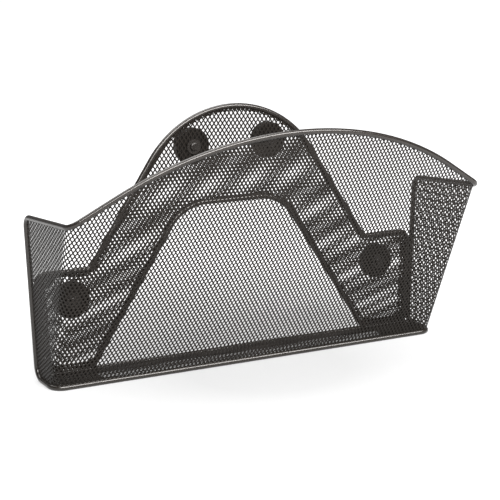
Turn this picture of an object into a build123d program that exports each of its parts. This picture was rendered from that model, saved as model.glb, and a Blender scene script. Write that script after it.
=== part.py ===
from build123d import *
import os
from math import atan2, cos, hypot, radians, sin, tan

# Magnetic wall file pocket: a folded mesh pocket edged with bent wire, on an arched mesh back with four
# magnets. Millimetres. X runs across the width, Y towards the wall and Z up. The origin is under the middle
# of the whole object, at the level that it stands on.

# Overall sizes, over the outside of the wires
overall_width = 330.0  # at the top of the sides
base_width = 320.0
overall_depth = 115.0  # from the front peak to the magnets' faces
overall_height = 188.8  # to the top of the back's arch
front_peak_height = 183.0
front_corner_height = 128.5
rear_corner_height = 121.5
floor_depth = 33.0  # between the middles of the front and back bottom wires

# Material sizes
wire_diameter = 4.0
sheet_thickness = 0.5
weld_gap = 0.05  # left between a wire and what is welded to it

# Bends of the pocket's edge wires, to the middle of the wire
fold_radius = 9.0
rim_corner_radius = 10.0
rear_top_radius = 8.0
rear_bottom_radius = 9.0
rim_shoulder = 38.0  # straight run of the rim from each front corner to the arc
bottom_run = 30.0  # how far each side wire runs in along the front bottom edge

# Back panel
arch_radius = 81.5  # outside of the wire
leg_lean = 33.3  # degrees from upright
foot_height = 78.6
foot_corner_radius = 8.0
leg_foot_radius = 6.0
opening_height = 115.0
opening_base_width = 231.0
opening_corner_radius = 34.0

# Magnets and what holds them
housing_diameter = 27.0
housing_depth = 6.0
housing_wall = 1.5
housing_base = 2.0
housing_edge = 1.2
magnet_proud = 0.2  # how far the magnet stands out of its housing
magnet_gap = 0.1
magnet_edge = 0.4
top_magnet_spacing = 63.6
top_magnet_drop = 29.7  # below the top of the arch
foot_magnet_drop = 23.8  # below the top of the foot
foot_magnet_inset = 31.0  # from the side wire
rivet_diameter = 3.2
rivet_head_diameter = 6.4
rivet_head_height = 1.4
rivet_head_edge = 1.0
rivet_tail_diameter = 5.6
rivet_tail_height = 1.0
rivet_gap = 0.1
washer_diameter = 11.0
washer_thickness = 0.8

# Places that several pieces share
wire_radius = wire_diameter / 2
weld_radius = wire_radius + weld_gap
half_sheet = sheet_thickness / 2
wall_y = overall_depth / 2
housing_y = wall_y - magnet_proud - housing_depth
back_y = housing_y - weld_gap - half_sheet
front_y = back_y - floor_depth
bottom_z = wire_radius
peak_y = -overall_depth / 2 + wire_radius
peak_z = front_peak_height - wire_radius
front_corner_z = front_corner_height - wire_radius
rear_corner_z = rear_corner_height - wire_radius
front_slope = (front_y - peak_y) / (peak_z - bottom_z)
side_slope = (overall_width - base_width) / 2 / (front_corner_z - bottom_z)
sheet_overrun = 2 * wire_diameter  # how far a sheet is drawn past its wire before it is trimmed

os.makedirs("parts", exist_ok=True)


def side_x(z):
    """Middle of the right side sheet at height z."""
    return base_width / 2 - wire_radius + side_slope * (z - bottom_z)


def front_sheet_y(z):
    """Middle of the front sheet at height z."""
    return front_y - front_slope * (z - bottom_z)


def upright(y):
    """Plane across the object at depth y, with X across and Z up, facing the front."""
    return Plane.XZ.offset(-y)


def mirrored(points):
    return [(-x, *rest) for x, *rest in reversed(points)]


def tube(path, radius, mode=Mode.ADD):
    """Round bar along a path, added to or cut from the part that is being built."""
    with BuildSketch(Plane(origin=path @ 0, z_dir=path % 0)) as section:
        Circle(radius)
    sweep(section.sketch, path=path, mode=mode)


def disc(y, depth, diameter, centre, mode=Mode.ADD):
    """Round plate that starts at depth y and runs towards the wall."""
    with BuildSketch(upright(y)) as outline:
        with Locations(centre):
            Circle(diameter / 2)
    extrude(outline.sketch, amount=-depth, mode=mode)


def write(piece, name):
    piece.part.label = name
    export_step(piece.part, f"parts/{name}.step")


# Edge wires of the pocket. The rim's arc lies in the leaning plane of the front sheet and is tangent to the
# shoulders, which run on to the front corners.
slant = hypot(1, front_slope)
front_plane = Plane(origin=(0, front_y, bottom_z), x_dir=(1, 0, 0), z_dir=(0, -1, -front_slope))
corner_x = side_x(front_corner_z)
corner_rise = (front_corner_z - bottom_z) * slant
peak_rise = (peak_z - bottom_z) * slant
peak_over_corner = peak_rise - corner_rise
rim_radius = (corner_x**2 + peak_over_corner**2 - rim_shoulder**2) / (2 * peak_over_corner)
rim_centre_rise = peak_rise - rim_radius
rim_end_angle = atan2(corner_x, corner_rise - rim_centre_rise) - atan2(rim_shoulder, rim_radius)
rim_end = (rim_radius * sin(rim_end_angle), rim_centre_rise + rim_radius * cos(rim_end_angle))

with BuildLine(front_plane) as rim_path:
    ThreePointArc((-rim_end[0], rim_end[1]), (0, peak_rise), rim_end)

bottom_corner_x = side_x(bottom_z)
bottom_joint_x = bottom_corner_x - bottom_run
side_points = [
    front_plane.from_local_coords(rim_end),
    (corner_x, front_sheet_y(front_corner_z), front_corner_z),
    (side_x(rear_corner_z), back_y, rear_corner_z),
    (bottom_corner_x, back_y, bottom_z),
    (bottom_corner_x, front_y, bottom_z),
    (bottom_joint_x, front_y, bottom_z),
]
side_bends = [rim_corner_radius, rear_top_radius, rear_bottom_radius, fold_radius]

with BuildLine() as side_path:
    FilletPolyline(*side_points, radius=side_bends)

with BuildLine() as front_bottom_path:
    Line((-bottom_joint_x, front_y, bottom_z), (bottom_joint_x, front_y, bottom_z))

with BuildPart() as front_rim_wire:
    tube(rim_path.wire(), wire_radius)
write(front_rim_wire, "front_rim_wire")

with BuildPart() as front_bottom_wire:
    tube(front_bottom_path.wire(), wire_radius)
write(front_bottom_wire, "front_bottom_wire")

with BuildPart() as side_wire_right:
    tube(side_path.wire(), wire_radius)
write(side_wire_right, "side_wire_right")

with BuildPart() as side_wire_left:
    mirror(side_wire_right.part, about=Plane.YZ)
write(side_wire_left, "side_wire_left")


# Folded sheet of the pocket: front and two sides in one piece. It is drawn past its edges and trimmed by the
# wires around it.
def pocket_outline(z, grow, overrun):
    """Level outline of the pocket at height z, grown by half the sheet and open to the back."""
    x = side_x(z) + grow
    y = front_sheet_y(z) - grow
    with BuildSketch(Plane.XY.offset(z)) as outline:
        with BuildLine():
            FilletPolyline(
                (-x, back_y + overrun), (-x, y), (x, y), (x, back_y + overrun), radius=[fold_radius + grow] * 2
            )
            Line((-x, back_y + overrun), (x, back_y + overrun))
        make_face()
    return outline.sketch


sheet_low = bottom_z - sheet_overrun / 2
sheet_high = peak_z + sheet_overrun

with BuildPart() as pocket_mesh:
    loft([pocket_outline(z, half_sheet, sheet_overrun) for z in (sheet_low, sheet_high)], ruled=True)
    loft(
        [pocket_outline(z, -half_sheet, 2 * sheet_overrun) for z in (sheet_low, sheet_high)],
        ruled=True,
        mode=Mode.SUBTRACT,
    )
    for path in (rim_path.wire(), front_bottom_path.wire(), side_path.wire()):
        tube(path, weld_radius, Mode.SUBTRACT)
    tube(mirror(side_path.wire(), about=Plane.YZ, mode=Mode.PRIVATE), weld_radius, Mode.SUBTRACT)
    add(pocket_mesh.solids().sort_by(SortBy.VOLUME)[-1], mode=Mode.REPLACE)
write(pocket_mesh, "pocket_mesh")

with BuildPart() as floor_mesh:
    with BuildSketch(Plane.XY.offset(bottom_z - half_sheet)) as floor_outline:
        with Locations((0, front_y + weld_radius)):
            Rectangle(
                2 * (bottom_corner_x - weld_radius),
                floor_depth - 2 * weld_radius,
                align=(Align.CENTER, Align.MIN),
            )
        fillet(floor_outline.vertices().group_by(Axis.Y)[0], radius=fold_radius - weld_radius)
    extrude(amount=sheet_thickness)
write(floor_mesh, "floor_mesh")

# Back panel: an arch on two leaning legs with level feet, around an opening with the same lean
arch_middle = arch_radius - wire_radius
arch_centre_z = overall_height - arch_radius
lean = radians(leg_lean)
foot_z = foot_height - wire_radius
foot_x = side_x(foot_z) - wire_diameter - weld_gap
foot_base_x = side_x(bottom_z) - wire_diameter - weld_gap
leg_foot_x = (arch_middle - (foot_z - arch_centre_z) * sin(lean)) / cos(lean)
arch_end = (arch_middle * cos(lean), arch_centre_z + arch_middle * sin(lean))
leg_points = [(foot_base_x, bottom_z), (foot_x, foot_z), (leg_foot_x, foot_z), arch_end]
opening_top_z = opening_height + wire_radius
opening_base_x = opening_base_width / 2 + wire_radius / cos(lean) - tan(lean) * bottom_z
opening_top_x = opening_base_x - tan(lean) * (opening_top_z - bottom_z)
opening_points = [(opening_top_x, opening_top_z), (opening_base_x, bottom_z)]


def draw_arch():
    FilletPolyline(*leg_points, radius=[foot_corner_radius, leg_foot_radius])
    ThreePointArc(arch_end, (0, overall_height - wire_radius), (-arch_end[0], arch_end[1]))
    FilletPolyline(*mirrored(leg_points), radius=[leg_foot_radius, foot_corner_radius])


def draw_opening():
    FilletPolyline(*mirrored(opening_points), *opening_points, radius=[opening_corner_radius] * 2)


with BuildLine(upright(back_y)) as arch_path:
    draw_arch()

with BuildLine(upright(back_y)) as opening_path:
    draw_opening()

with BuildLine(upright(back_y)) as back_bottom_path:
    Line((weld_radius - bottom_corner_x, bottom_z), (bottom_corner_x - weld_radius, bottom_z))

with BuildPart() as back_bottom_wire:
    tube(back_bottom_path.wire(), wire_radius)
write(back_bottom_wire, "back_bottom_wire")

with BuildPart() as back_arch_wire:
    tube(arch_path.wire(), wire_radius)
    tube(back_bottom_path.wire(), weld_radius, Mode.SUBTRACT)
write(back_arch_wire, "back_arch_wire")

with BuildPart() as back_opening_wire:
    tube(opening_path.wire(), wire_radius)
    tube(back_bottom_path.wire(), weld_radius, Mode.SUBTRACT)
write(back_opening_wire, "back_opening_wire")

top_magnet_z = overall_height - top_magnet_drop
foot_magnet_z = foot_height - foot_magnet_drop
foot_magnet_x = side_x(foot_magnet_z) - foot_magnet_inset
magnet_places = {
    "top_left": (-top_magnet_spacing / 2, top_magnet_z),
    "top_right": (top_magnet_spacing / 2, top_magnet_z),
    "foot_left": (-foot_magnet_x, foot_magnet_z),
    "foot_right": (foot_magnet_x, foot_magnet_z),
}

with BuildPart() as back_mesh:
    with BuildSketch(upright(back_y)) as back_outline:
        with BuildLine():
            draw_arch()
            Line((-foot_base_x, bottom_z), (foot_base_x, bottom_z))
        make_face()
        offset(amount=-weld_radius, mode=Mode.REPLACE)
    extrude(amount=half_sheet, both=True)
    with BuildSketch(upright(back_y)) as opening_outline:
        with BuildLine():
            draw_opening()
            Line((-opening_base_x, bottom_z), (opening_base_x, bottom_z))
        make_face()
        offset(amount=weld_radius, mode=Mode.REPLACE)
    extrude(amount=half_sheet, both=True, mode=Mode.SUBTRACT)
    for centre in magnet_places.values():
        disc(back_y - half_sheet, sheet_thickness, rivet_diameter + 2 * rivet_gap, centre, Mode.SUBTRACT)
write(back_mesh, "back_mesh")

# Each magnet sits in a housing behind the mesh, and a rivet through a washer holds the housing on.
washer_y = back_y - half_sheet - weld_gap - washer_thickness
rivet_head_y = washer_y - weld_gap - rivet_head_height
tail_recess_y = housing_y + housing_base - rivet_tail_height - rivet_gap
magnet_y = housing_y + housing_base + weld_gap

for place, centre in magnet_places.items():
    with BuildPart() as housing:
        disc(housing_y, housing_depth, housing_diameter, centre)
        fillet(housing.faces().sort_by(Axis.Y)[0].edges(), radius=housing_edge)
        disc(
            housing_y + housing_base,
            housing_depth - housing_base,
            housing_diameter - 2 * housing_wall,
            centre,
            Mode.SUBTRACT,
        )
        disc(housing_y, housing_base, rivet_diameter + 2 * rivet_gap, centre, Mode.SUBTRACT)
        disc(
            tail_recess_y,
            rivet_tail_height + rivet_gap,
            rivet_tail_diameter + 2 * rivet_gap,
            centre,
            Mode.SUBTRACT,
        )
    write(housing, f"magnet_housing_{place}")

    with BuildPart() as magnet:
        disc(magnet_y, wall_y - magnet_y, housing_diameter - 2 * (housing_wall + magnet_gap), centre)
        chamfer(magnet.faces().sort_by(Axis.Y)[-1].edges(), length=magnet_edge)
    write(magnet, f"magnet_{place}")

    with BuildPart() as washer:
        disc(washer_y, washer_thickness, washer_diameter, centre)
        disc(washer_y, washer_thickness, rivet_diameter + 2 * rivet_gap, centre, Mode.SUBTRACT)
    write(washer, f"washer_{place}")

    with BuildPart() as rivet:
        disc(rivet_head_y, rivet_head_height, rivet_head_diameter, centre)
        fillet(rivet.faces().sort_by(Axis.Y)[0].edges(), radius=rivet_head_edge)
        disc(rivet_head_y, housing_y + housing_base - rivet_head_y, rivet_diameter, centre)
        disc(
            housing_y + housing_base - rivet_tail_height,
            rivet_tail_height,
            rivet_tail_diameter,
            centre,
        )
    write(rivet, f"rivet_{place}")
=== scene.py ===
import math

import bmesh
import bpy
import numpy as np
from mathutils import Matrix, Vector
from mathutils.bvhtree import BVHTree


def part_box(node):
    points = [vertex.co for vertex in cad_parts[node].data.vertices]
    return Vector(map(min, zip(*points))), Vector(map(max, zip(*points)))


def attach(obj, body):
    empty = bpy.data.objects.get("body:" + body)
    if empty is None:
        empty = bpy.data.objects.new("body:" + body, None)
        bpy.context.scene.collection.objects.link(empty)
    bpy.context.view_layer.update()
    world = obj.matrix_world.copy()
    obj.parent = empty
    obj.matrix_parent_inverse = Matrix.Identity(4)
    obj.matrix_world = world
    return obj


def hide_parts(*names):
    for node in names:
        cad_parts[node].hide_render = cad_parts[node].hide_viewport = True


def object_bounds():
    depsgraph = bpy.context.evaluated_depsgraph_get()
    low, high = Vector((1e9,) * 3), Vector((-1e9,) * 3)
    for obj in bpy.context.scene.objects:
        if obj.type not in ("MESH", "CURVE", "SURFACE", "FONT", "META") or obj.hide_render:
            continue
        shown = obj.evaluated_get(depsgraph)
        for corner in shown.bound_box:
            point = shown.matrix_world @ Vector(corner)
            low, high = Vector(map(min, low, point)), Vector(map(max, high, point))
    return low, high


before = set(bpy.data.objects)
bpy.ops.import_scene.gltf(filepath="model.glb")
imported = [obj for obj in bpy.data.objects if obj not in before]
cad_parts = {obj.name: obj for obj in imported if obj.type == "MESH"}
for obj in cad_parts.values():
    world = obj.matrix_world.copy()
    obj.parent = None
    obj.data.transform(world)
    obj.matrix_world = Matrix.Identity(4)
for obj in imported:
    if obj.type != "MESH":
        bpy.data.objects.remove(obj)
cad_low, cad_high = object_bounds()
MM = 0.001

# Expanded mesh: pitch across and along the long way of its diamond holes, and the steel strands between them
POCKET_PITCH = (3.08 * MM, 5.2 * MM)
BACK_PITCH = (3.48 * MM, 5.04 * MM)
STRAND_WIDTH = 0.94 * MM
BACK_STRAND_WIDTH = 1.05 * MM
HEM_STRAND_WIDTH = 1.3 * MM
STRAND_THICKNESS = 0.3 * MM
STRAND_TWIST = 0.1 * MM  # how far a strand's lower and upper edges stand out of the sheet, one each way
SIDE_STRAND_LEAN = 0.16 * MM  # how far a side strand's rear edge stands out and its front edge in
HOLE_BLUNTNESS = 0.26  # share of a hole's height that is cut off its sharp upper and lower ends
BACK_HOLE_BLUNTNESS = 0.1

# The columns and rows of holes in the back panel lean a little.
BACK_COLUMN_LEAN = math.radians(-2)
BACK_ROW_LEAN = math.radians(-3)

# Those of the pocket lean, curve and crowd a little, as if drawn by forming. Heights are in metres.
POCKET_COLUMN_LEAN = 0.03  # sideways run over height
POCKET_COLUMN_CURVE = -0.38  # sideways run over the square of the height
POCKET_ROW_LEAN = 0.022  # rise over sideways run
COLUMN_CROWDING = (0.98, 0.3)  # columns in one nominal pitch: at the bottom, and gained per metre of height
ROW_CROWDING = (1.04, -0.2)
DRAWING_ROUNDS = 8  # a drawn place depends on itself, and settles in a few rounds

# Hems
HEM_WIDTH = 1.4 * MM  # from the surface of the wire
FOOT_HEM_WIDTH = 4.6 * MM  # the same, at the outer and lower edges of the feet
FOOT_HEM_HEIGHT = 11 * MM
FOOT_HEM_REACH = 12 * MM  # in from the outer edge of the back sheet
FOOT_HEM_RISE = 4 * MM  # above the foot's magnet housing
FLOOR_HEM_WIDTH = 12 * MM
HEM_GAP = 0.85 * MM  # from the middle of a sheet to the middle of its hem

FOLD_RADIUS = 9 * MM
BEND_STEPS = 200
HIDDEN_IN_WIRE = 0.9  # share of the wire's radius that the cut ends of the mesh reach into

# The blanks are larger than the sheets, and are trimmed to them.
SIDE_BLANK_WIDTH = 85 * MM
POCKET_MARGIN_BELOW = 30 * MM
POCKET_MARGIN_ABOVE = 34 * MM
BACK_MARGIN = Vector((10 * MM, 10 * MM))
SIDE_FOOT_HEIGHT = 4 * MM  # of the strip at the bottom of a side in which its foot is looked for


# Places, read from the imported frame
def middle(node):
    low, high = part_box(node)
    return (low + high) / 2


def tree_of(*nodes):
    """Search tree over the faces of some CAD nodes."""
    vertices, faces = [], []
    for name in nodes:
        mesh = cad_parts[name].data
        start = len(vertices)
        vertices += [v.co.copy() for v in mesh.vertices]
        faces += [[start + i for i in p.vertices] for p in mesh.polygons]
    return BVHTree.FromPolygons(vertices, faces)


wire_low, wire_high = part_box("back_bottom_wire")
wire_radius = (wire_high.z - wire_low.z) / 2
sheet_reach = HIDDEN_IN_WIRE * wire_radius
bottom_z = middle("back_bottom_wire").z
back_y = middle("back_bottom_wire").y
front_y = middle("front_bottom_wire").y
rim_low, rim_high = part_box("front_rim_wire")
peak_z = rim_high.z - wire_radius
peak_y = rim_low.y + wire_radius
front_slope = (front_y - peak_y) / (peak_z - bottom_z)
slant = math.hypot(1, front_slope)
floor_low, floor_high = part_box("floor_mesh")
sheet_half = (floor_high.z - floor_low.z) / 2
back_low, back_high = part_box("back_mesh")
leg_foot_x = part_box("back_opening_wire")[1].x
foot_hem_x = back_high.x - FOOT_HEM_REACH
foot_hem_top_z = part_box("magnet_housing_foot_right")[1].z + FOOT_HEM_RISE

pocket_tree = tree_of("pocket_mesh")
back_tree = tree_of("back_mesh")
floor_tree = tree_of("floor_mesh")
back_wire_tree = tree_of("back_arch_wire", "back_opening_wire", "back_bottom_wire")

# A side leans out evenly, from its foot behind the fold to its widest corner.
pocket_vertices = np.array([v.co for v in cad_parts["pocket_mesh"].data.vertices])
side_top = pocket_vertices[pocket_vertices[:, 0].argmax()]
is_low = pocket_vertices[:, 2] < bottom_z + SIDE_FOOT_HEIGHT
is_behind_fold = pocket_vertices[:, 1] > front_y + FOLD_RADIUS
low_side_vertices = pocket_vertices[is_low & is_behind_fold]
side_foot = low_side_vertices[low_side_vertices[:, 0].argmax()]
side_slope = (side_top[0] - side_foot[0]) / (side_top[2] - side_foot[2])
side_base_x = side_foot[0] - sheet_half - side_slope * (side_foot[2] - bottom_z)

# The right fold of the pocket sheet: its direction in the flat blank and in space, and the bend's section
fold_blank = np.array([side_slope / slant, 1.0])
fold_blank /= np.linalg.norm(fold_blank)
fold_across = np.array([fold_blank[1], -fold_blank[0]])
front_right = np.array([1.0, 0.0, 0.0])
front_up = np.array([0.0, -front_slope, 1.0]) / slant
fold_line = fold_blank[0] * front_right + fold_blank[1] * front_up
fold_corner = np.array([side_base_x, front_y, bottom_z])

bend_angles = np.linspace(0, math.pi / 2, BEND_STEPS)
bend_points = FOLD_RADIUS * np.stack(
    [np.sin(bend_angles) - 1, 1 - np.cos(bend_angles), np.zeros(BEND_STEPS)], axis=1
)
bend_tangents = np.stack([np.cos(bend_angles), np.sin(bend_angles), np.zeros(BEND_STEPS)], axis=1)
bend_tangents -= np.outer(bend_tangents @ fold_line, fold_line)
bend_speed = FOLD_RADIUS * np.linalg.norm(bend_tangents, axis=1)
bend_start = -FOLD_RADIUS * fold_across[0]
bend_length = np.concatenate(
    [[0], np.cumsum((bend_speed[1:] + bend_speed[:-1]) / 2 * (bend_angles[1] - bend_angles[0]))]
)
bend_tangents /= np.linalg.norm(bend_tangents, axis=1)[:, None]


# Surfaces: each gives points and outward normals for points of a flat blank.
def on_pocket(blank):
    mirrored = np.sign(blank[:, 0]) + (blank[:, 0] == 0)
    flat = np.stack([np.abs(blank[:, 0]) - side_base_x, blank[:, 1]], axis=1)
    across = flat @ fold_across
    along = flat @ fold_blank
    bent = np.clip(across - bend_start, 0, bend_length[-1])
    past = np.maximum(across - bend_start - bend_length[-1], 0)
    before = np.minimum(across - bend_start, 0)
    section = np.stack([np.interp(bent, bend_length, bend_points[:, i]) for i in range(3)], axis=1)
    tangent = np.stack([np.interp(bent, bend_length, bend_tangents[:, i]) for i in range(3)], axis=1)
    tangent /= np.linalg.norm(tangent, axis=1)[:, None]
    points = (
        fold_corner
        + section
        + np.outer(along, fold_line)
        - np.outer(section @ fold_line, fold_line)
        + tangent * (past + before)[:, None]
    )
    normals = np.cross(tangent, fold_line)
    points[:, 0] *= mirrored
    normals[:, 0] *= mirrored
    return points, normals


def on_back(blank):
    points = np.stack([blank[:, 0], np.full(len(blank), back_y), blank[:, 1]], axis=1)
    return points, np.tile([0.0, -1.0, 0.0], (len(blank), 1))


def on_back_hem(blank):
    points, normals = on_back(blank)
    return points - [0, HEM_GAP, 0], normals


def on_floor(blank):
    points = np.stack([blank[:, 0], blank[:, 1], np.full(len(blank), bottom_z)], axis=1)
    return points, np.tile([0.0, 0.0, -1.0], (len(blank), 1))


# Second floor layer: a hem at the back edge, and painted shade under both feet.
def on_floor_hem_and_foot_shade(blank):
    points, normals = on_floor(blank)
    return points + [0, 0, HEM_GAP], normals


# Warps: each gives the place in the blank of points of the even grid of holes.
def even(grid):
    return grid


def drawn_pocket(grid):
    u, v = grid[:, 0].copy(), grid[:, 1].copy()
    for _ in range(DRAWING_ROUNDS):
        lean = POCKET_COLUMN_LEAN + POCKET_COLUMN_CURVE * v
        u = (grid[:, 0] + v * lean) / (COLUMN_CROWDING[0] + COLUMN_CROWDING[1] * v)
        v = (grid[:, 1] + POCKET_ROW_LEAN * u) / (ROW_CROWDING[0] + ROW_CROWDING[1] * v)
    return np.stack([u, v], axis=1)


def leaning_back(grid):
    lean = np.array(
        [
            [math.cos(BACK_COLUMN_LEAN), math.sin(BACK_COLUMN_LEAN)],
            [-math.sin(BACK_ROW_LEAN), math.cos(BACK_ROW_LEAN)],
        ]
    )
    return grid @ np.linalg.inv(lean).T


# Parts of a sheet: each says which points are in it.
def whole(points):
    return np.ones(len(points), bool)


def front_sheet_y(z):
    return front_y - front_slope * (z - bottom_z)


def part_of_front(points):
    return points[:, 1] < front_sheet_y(points[:, 2]) + FOLD_RADIUS / 2


def front_left_half(points):
    return part_of_front(points) & (points[:, 0] <= 0)


def front_right_half(points):
    return part_of_front(points) & (points[:, 0] > 0)


def right_side(points):
    return ~part_of_front(points) & (points[:, 0] > 0)


def left_side(points):
    return ~part_of_front(points) & (points[:, 0] < 0)


def back_hem_and_foot_shade(points):
    """The floor sheet lies double along its back edge, as a hem, and under both feet, where the second layer
    is painted shade for the feet's shadow on the floor.
    """
    return (points[:, 1] > back_y - FLOOR_HEM_WIDTH) | (np.abs(points[:, 0]) > leg_foot_x)


# Trimming
def drawn_in(point, nearest, away, reach):
    """A point moved straight towards its nearest point, until it is only reach away from it."""
    return np.array(nearest) + (point - np.array(nearest)) * (reach / away)


def trim(points, tree):
    """Draws points back to where the wire hides them, in place. Gives how far each was from the CAD sheet."""
    distance = np.empty(len(points))
    for i, point in enumerate(points):
        nearest, _, _, away = tree.find_nearest(Vector(point))
        distance[i] = away
        if away > sheet_reach:
            points[i] = drawn_in(point, nearest, away, sheet_reach)
    return distance


def hem_limit(points):
    """Draws points back to the back hem's cut edge, in place, and says which ones were inside it."""
    inside = np.empty(len(points), bool)
    for i, point in enumerate(points):
        nearest, _, _, away = back_wire_tree.find_nearest(Vector(point))
        at_edge = abs(point[0]) > foot_hem_x or point[2] < FOOT_HEM_HEIGHT
        width = FOOT_HEM_WIDTH if at_edge and point[2] < foot_hem_top_z else HEM_WIDTH
        inside[i] = away < width
        if away > width:
            points[i] = drawn_in(point, nearest, away, width)
    return inside


# Expanded mesh
def hole_outline(pitch, strand, bluntness):
    """Corners of a hole round its centre, anticlockwise from the right: side, two upper, side, two lower."""
    half_x, half_z = pitch[0] / 2, pitch[1] / 2
    inset = strand / 2 * math.hypot(half_x, half_z) / (half_x * half_z)
    hole_x, hole_z = half_x * (1 - inset), half_z * (1 - inset)
    blunt_x, blunt_z = hole_x * bluntness, hole_z * (1 - bluntness)
    return np.array(
        [
            (hole_x, 0),
            (blunt_x, blunt_z),
            (-blunt_x, blunt_z),
            (-hole_x, 0),
            (-blunt_x, -blunt_z),
            (blunt_x, -blunt_z),
        ]
    )


def diamond_grid(low, high, pitch, shift):
    """Grid points, the indices of the diamonds' centres, and those of their four corners from the east round.
    The centres are where column and row are both even or both odd."""
    first = [math.floor((low[k] - shift[k]) / (pitch[k] / 2)) - 1 for k in (0, 1)]
    last = [math.ceil((high[k] - shift[k]) / (pitch[k] / 2)) + 1 for k in (0, 1)]
    columns, rows = np.meshgrid(
        np.arange(first[0], last[0] + 1), np.arange(first[1], last[1] + 1), indexing="ij"
    )
    grid = np.stack(
        [columns.ravel() * (pitch[0] / 2) + shift[0], rows.ravel() * (pitch[1] / 2) + shift[1]], axis=1
    )
    is_centre = ((columns + rows) % 2 == 0)[1:-1, 1:-1]
    index = np.arange(len(grid)).reshape(columns.shape)
    neighbours = [index[2:, 1:-1], index[1:-1, 2:], index[:-2, 1:-1], index[1:-1, :-2]]
    corners = np.stack([neighbour[is_centre] for neighbour in neighbours], axis=1)
    return grid, index[1:-1, 1:-1][is_centre], corners


def diamond_faces(corners, n_corners, n_ring):
    """Faces of the diamonds. Vertices come as the corners' outer and inner layers, then the holes' two."""
    east, north, west, south = corners.T
    hole_index = 2 * n_corners + np.arange(n_ring).reshape(-1, 6)
    faces = []
    for corner_step, hole_step, order in [(0, 0, 1), (n_corners, n_ring, -1)]:
        e, n, w, s = (corner + corner_step for corner in (east, north, west, south))
        right, up_right, up_left, left, down_left, down_right = (hole_index + hole_step).T
        layer_faces = [
            (e, n, up_right, right),
            (n, w, left, up_left),
            (w, s, down_left, left),
            (s, e, right, down_right),
            (n, up_left, up_right),
            (s, down_right, down_left),
        ]
        for face in layer_faces:
            faces += np.stack(face[::order], axis=1).tolist()
    for i in range(6):
        a, b = hole_index[:, i], hole_index[:, (i + 1) % 6]
        faces += np.stack([a, b, b + n_ring, a + n_ring], axis=1).tolist()
    return faces


def join_trimmed(mesh):
    """Joins points that the trimming brought together and drops the faces that vanish with them."""
    work = bmesh.new()
    work.from_mesh(mesh)
    bmesh.ops.remove_doubles(work, verts=work.verts, dist=0.02 * MM)
    bmesh.ops.dissolve_degenerate(work, edges=work.edges, dist=0.01 * MM)
    loose = [v for v in work.verts if not v.link_faces]
    bmesh.ops.delete(work, geom=loose, context="VERTS")
    bmesh.ops.recalc_face_normals(work, faces=work.faces)
    work.to_mesh(mesh)
    work.free()


def expanded_mesh(
    name, surface, low, high, pitch, strand, edge_tree,
    shift=(0, 0), keep=whole, warp=even, band=whole, bluntness=HOLE_BLUNTNESS, lean=0.0,
):
    """Sheet of expanded mesh between two corners of its blank, laid on a surface and trimmed at the wires.
    keep chooses diamonds by their centres, and band trims the sheet to a hem."""
    grid, centre, corners = diamond_grid(low, high, pitch, shift)
    grid_points, grid_normals = surface(warp(grid))
    in_sheet = trim(grid_points, edge_tree) < sheet_reach
    in_sheet &= band(grid_points)
    kept = in_sheet[corners].any(axis=1) & keep(grid_points[centre])
    centre, corners = centre[kept], corners[kept]

    hole = hole_outline(pitch, strand, bluntness)
    ring = (grid[centre][:, None, :] + hole[None]).reshape(-1, 2)
    ring_points, ring_normals = surface(warp(ring))
    trim(ring_points, edge_tree)
    band(ring_points)
    twist = -np.sign(hole[:, 1]) * STRAND_TWIST - hole[:, 0] / hole[0, 0] * lean
    ring_out = np.tile(twist, len(centre))[:, None]

    half = STRAND_THICKNESS / 2
    used, corner_of = np.unique(corners, return_inverse=True)
    vertices = np.concatenate(
        [
            grid_points[used] + grid_normals[used] * half,
            grid_points[used] - grid_normals[used] * half,
            ring_points + ring_normals * (ring_out + half),
            ring_points + ring_normals * (ring_out - half),
        ]
    )
    faces = diamond_faces(corner_of.reshape(corners.shape), len(used), len(ring))
    mesh = bpy.data.meshes.new(name)
    mesh.from_pydata(vertices.tolist(), [], faces)
    join_trimmed(mesh)
    piece = bpy.data.objects.new(name, mesh)
    bpy.context.scene.collection.objects.link(piece)
    return piece


# Materials
CLOUD_SIZE = 18 * MM
CLOUD_RAMP = [(0.35, 0.82), (0.7, 1.2)]  # level of the noise, and how bright the colour is there
GRAIN_RANGE = (0.3, 0.7)  # levels of the noise between which the gloss changes
GLOSS_SPREAD = (-0.05, 0.07)  # added to the roughness at those levels
BUMP_STRENGTH = 0.5
WARM_REFLECTION = (1, 0.965, 0.93, 1)


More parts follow.
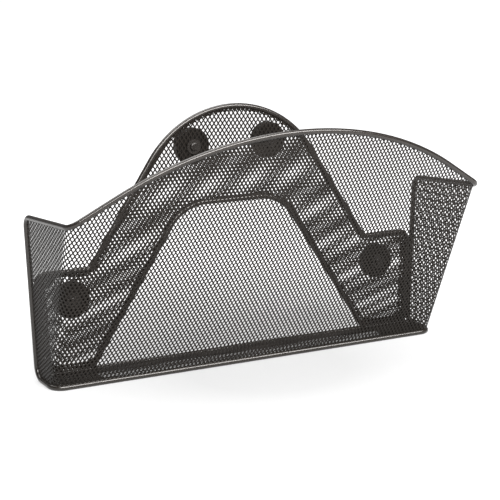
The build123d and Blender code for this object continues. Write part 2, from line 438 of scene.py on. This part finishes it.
def powder_coat(name, colour, roughness, grain_size, grain_height, gloss_level):
    """Powder coat: fine orange peel with uneven gloss, and broad clouds in the colour."""
    material = bpy.data.materials.new(name)
    material.use_nodes = True
    nodes, links = material.node_tree.nodes, material.node_tree.links
    shader = nodes["Principled BSDF"]
    shader.inputs["Specular IOR Level"].default_value = gloss_level
    shader.inputs["Specular Tint"].default_value = WARM_REFLECTION
    place = nodes.new("ShaderNodeTexCoord")
    grain = nodes.new("ShaderNodeTexNoise")
    grain.inputs["Scale"].default_value = 1 / grain_size
    grain.inputs["Detail"].default_value = 3
    links.new(place.outputs["Object"], grain.inputs["Vector"])
    clouds = nodes.new("ShaderNodeTexNoise")
    clouds.inputs["Scale"].default_value = 1 / CLOUD_SIZE
    clouds.inputs["Detail"].default_value = 4
    links.new(place.outputs["Object"], clouds.inputs["Vector"])
    tint = nodes.new("ShaderNodeValToRGB")
    for stop, (level, brightness) in zip(tint.color_ramp.elements, CLOUD_RAMP):
        stop.position = level
        stop.color = (*[brightness * c for c in colour], 1)
    links.new(clouds.outputs["Fac"], tint.inputs["Fac"])
    links.new(tint.outputs["Color"], shader.inputs["Base Color"])
    gloss = nodes.new("ShaderNodeMapRange")
    gloss.inputs["From Min"].default_value = GRAIN_RANGE[0]
    gloss.inputs["From Max"].default_value = GRAIN_RANGE[1]
    gloss.inputs["To Min"].default_value = roughness + GLOSS_SPREAD[0]
    gloss.inputs["To Max"].default_value = roughness + GLOSS_SPREAD[1]
    links.new(grain.outputs["Fac"], gloss.inputs["Value"])
    links.new(gloss.outputs["Result"], shader.inputs["Roughness"])
    bump = nodes.new("ShaderNodeBump")
    bump.inputs["Strength"].default_value = BUMP_STRENGTH
    bump.inputs["Distance"].default_value = grain_height
    links.new(grain.outputs["Fac"], bump.inputs["Height"])
    links.new(bump.outputs["Normal"], shader.inputs["Normal"])
    return material


BLACK = (0.01, 0.008, 0.0065)
DEEP_BLACK = (0.005, 0.0042, 0.0036)
FERRITE_GREY = (0.045, 0.045, 0.047)
mesh_coat = powder_coat(
    "mesh_powder_coat", BLACK, roughness=0.42, grain_size=0.5 * MM, grain_height=0.02 * MM, gloss_level=0.2
)
wire_coat = powder_coat(
    "wire_powder_coat", BLACK, roughness=0.26, grain_size=0.9 * MM, grain_height=0.006 * MM, gloss_level=0.6
)
cup_coat = powder_coat(
    "housing_powder_coat",
    DEEP_BLACK,
    roughness=0.4,
    grain_size=0.9 * MM,
    grain_height=0.03 * MM,
    gloss_level=0.12,
)
ferrite = powder_coat(
    "ferrite", FERRITE_GREY, roughness=0.6, grain_size=0.35 * MM, grain_height=0.03 * MM, gloss_level=0.4
)

# The longer start comes first, because it begins with the shorter one.
COAT_OF = {"magnet_housing": cup_coat, "magnet": ferrite}
for name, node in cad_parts.items():
    coat = next((COAT_OF[start] for start in COAT_OF if name.startswith(start)), wire_coat)
    node.data.materials.clear()
    node.data.materials.append(coat)

# Mesh pieces. The pocket sheet is split so that no piece has too many triangles.
blank_half = side_base_x + SIDE_BLANK_WIDTH
blank_low = (-blank_half, -POCKET_MARGIN_BELOW)
blank_high = (blank_half, (peak_z - bottom_z) * slant + POCKET_MARGIN_ABOVE)
pocket_pieces = [
    expanded_mesh(
        name, on_pocket, blank_low, blank_high, POCKET_PITCH, STRAND_WIDTH, pocket_tree,
        keep=keep, warp=drawn_pocket, lean=lean,
    )
    for name, keep, lean in [
        ("pocket_front_left_mesh", front_left_half, 0.0),
        ("pocket_front_right_mesh", front_right_half, 0.0),
        ("pocket_left_mesh", left_side, -SIDE_STRAND_LEAN),
        ("pocket_right_mesh", right_side, SIDE_STRAND_LEAN),
    ]
]
floor_piece = expanded_mesh(
    "pocket_floor_mesh", on_floor, floor_low.xy, floor_high.xy, POCKET_PITCH, STRAND_WIDTH, floor_tree
)
back_blank_low = back_low.xz - BACK_MARGIN
back_blank_high = back_high.xz + BACK_MARGIN
back = expanded_mesh(
    "back_panel_mesh", on_back, back_blank_low, back_blank_high, BACK_PITCH, BACK_STRAND_WIDTH, back_tree,
    warp=leaning_back, bluntness=BACK_HOLE_BLUNTNESS,
)
hem = expanded_mesh(
    "back_panel_hem", on_back_hem, back_blank_low, back_blank_high, BACK_PITCH, HEM_STRAND_WIDTH, back_tree,
    shift=(BACK_PITCH[0] / 2, 0), warp=leaning_back, band=hem_limit,
)
# Second floor layer: its strip under both feet is painted shade, standing for the feet's shadow on the floor.
floor_hem_and_foot_shade = expanded_mesh(
    "pocket_floor_hem_and_foot_shade", on_floor_hem_and_foot_shade, floor_low.xy, floor_high.xy, POCKET_PITCH, HEM_STRAND_WIDTH, floor_tree,
    shift=(POCKET_PITCH[0] / 2, 0), keep=back_hem_and_foot_shade,
)

for piece, nodes in [
    *((piece, ["pocket_mesh"]) for piece in pocket_pieces),
    (floor_piece, ["floor_mesh"]),
    (back, ["back_mesh"]),
    (hem, []),
    (floor_hem_and_foot_shade, []),
]:
    piece.data.materials.append(mesh_coat)
    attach(piece, "root")
    if nodes:
        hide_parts(*nodes)

# Studio floor: it takes the lamps' shadow near the object, and its glow is painted light: weak near the
# object, so that it paints shade round it, and pure white away from it.
FLOOR_REACH = 4.0
FLOOR_GREY = (0.25, 0.25, 0.25, 1)
GLOW_RADII = (0.06, 0.35)
# Painted glow: low near the object, which paints shade there, and full away from it.
GLOW_LEVELS = (0.37, 1.0)
floor_outline = [
    (-FLOOR_REACH, -FLOOR_REACH, 0),
    (FLOOR_REACH, -FLOOR_REACH, 0),
    (FLOOR_REACH, FLOOR_REACH, 0),
    (-FLOOR_REACH, FLOOR_REACH, 0),
]
floor_mesh = bpy.data.meshes.new("studio_floor")
floor_mesh.from_pydata(floor_outline, [], [(0, 1, 2, 3)])
studio_floor = bpy.data.objects.new("studio_floor", floor_mesh)
bpy.context.scene.collection.objects.link(studio_floor)
pale = bpy.data.materials.new("pale_floor")
pale.use_nodes = True
pale_nodes, pale_links = pale.node_tree.nodes, pale.node_tree.links
pale_shader = pale_nodes["Principled BSDF"]
pale_shader.inputs["Base Color"].default_value = FLOOR_GREY
pale_shader.inputs["Emission Color"].default_value = (1, 1, 1, 1)
pale_shader.inputs["Roughness"].default_value = 0.9
pale_shader.inputs["Specular IOR Level"].default_value = 0.1
floor_place = pale_nodes.new("ShaderNodeTexCoord")
floor_radius = pale_nodes.new("ShaderNodeVectorMath")
floor_radius.operation = "LENGTH"
# The glow rises with distance from the object's middle: painted shade near it, painted light further out.
floor_glow = pale_nodes.new("ShaderNodeMapRange")
floor_glow.inputs["From Min"].default_value = GLOW_RADII[0]
floor_glow.inputs["From Max"].default_value = GLOW_RADII[1]
floor_glow.inputs["To Min"].default_value = GLOW_LEVELS[0]
floor_glow.inputs["To Max"].default_value = GLOW_LEVELS[1]
pale_links.new(floor_place.outputs["Object"], floor_radius.inputs[0])
pale_links.new(floor_radius.outputs["Value"], floor_glow.inputs["Value"])
pale_links.new(floor_glow.outputs["Result"], pale_shader.inputs["Emission Strength"])
floor_mesh.materials.append(pale)


# Lights
def area_light(name, place, width, height, watts):
    """Rectangular light that faces the middle of the object."""
    data = bpy.data.lights.new(name, "AREA")
    data.shape = "RECTANGLE"
    data.size, data.size_y = width, height
    data.energy = watts
    light = bpy.data.objects.new(name, data)
    light.location = place
    light.rotation_mode = "QUATERNION"
    light.rotation_quaternion = ((cad_low + cad_high) / 2 - Vector(place)).to_track_quat("-Z", "Y")
    bpy.context.scene.collection.objects.link(light)


area_light("front_softbox", (0.1, -1.0, 0.9), width=1.9, height=0.45, watts=58)
area_light("overhead", (-0.1, 0.5, 1.4), width=1.5, height=1.5, watts=30)

# The backdrop looks pure white but lights the object only weakly, so that the black coat stays deep.
BACKDROP_LIGHT = 0.2
BACKDROP_SEEN = 1.05
world = bpy.data.worlds.new("studio")
world.use_nodes = True
world_nodes, world_links = world.node_tree.nodes, world.node_tree.links
backdrop = world_nodes["Background"]
backdrop.inputs["Color"].default_value = (1, 1, 1, 1)
ray_kind = world_nodes.new("ShaderNodeLightPath")
backdrop_level = world_nodes.new("ShaderNodeMapRange")
backdrop_level.inputs["To Min"].default_value = BACKDROP_LIGHT
backdrop_level.inputs["To Max"].default_value = BACKDROP_SEEN
world_links.new(ray_kind.outputs["Is Camera Ray"], backdrop_level.inputs["Value"])
world_links.new(backdrop_level.outputs["Result"], backdrop.inputs["Strength"])
bpy.context.scene.world = world
bpy.context.scene.view_settings.view_transform = "Standard"

# Camera
CAMERA_AZIMUTH = math.radians(-28.0)
CAMERA_ELEVATION = math.radians(12.67)
CAMERA_ROLL = math.radians(-0.27)
CAMERA_DISTANCE = 1.1842
CAMERA_TARGET = Vector((0.0149, back_y + 0.0005, 0.0763))
CAMERA_LENS = 112.7
towards_camera = Vector(
    (
        math.sin(CAMERA_AZIMUTH) * math.cos(CAMERA_ELEVATION),
        -math.cos(CAMERA_AZIMUTH) * math.cos(CAMERA_ELEVATION),
        math.sin(CAMERA_ELEVATION),
    )
)
camera_data = bpy.data.cameras.new("camera")
camera_data.sensor_width = 36
camera_data.lens = CAMERA_LENS
camera_data.clip_start, camera_data.clip_end = 0.05, 20
camera = bpy.data.objects.new("camera", camera_data)
camera.matrix_world = (
    Matrix.Translation(CAMERA_TARGET + towards_camera * CAMERA_DISTANCE)
    @ (-towards_camera).to_track_quat("-Z", "Y").to_matrix().to_4x4()
    @ Matrix.Rotation(CAMERA_ROLL, 4, "Z")
)
bpy.context.scene.collection.objects.link(camera)
bpy.context.scene.camera = camera
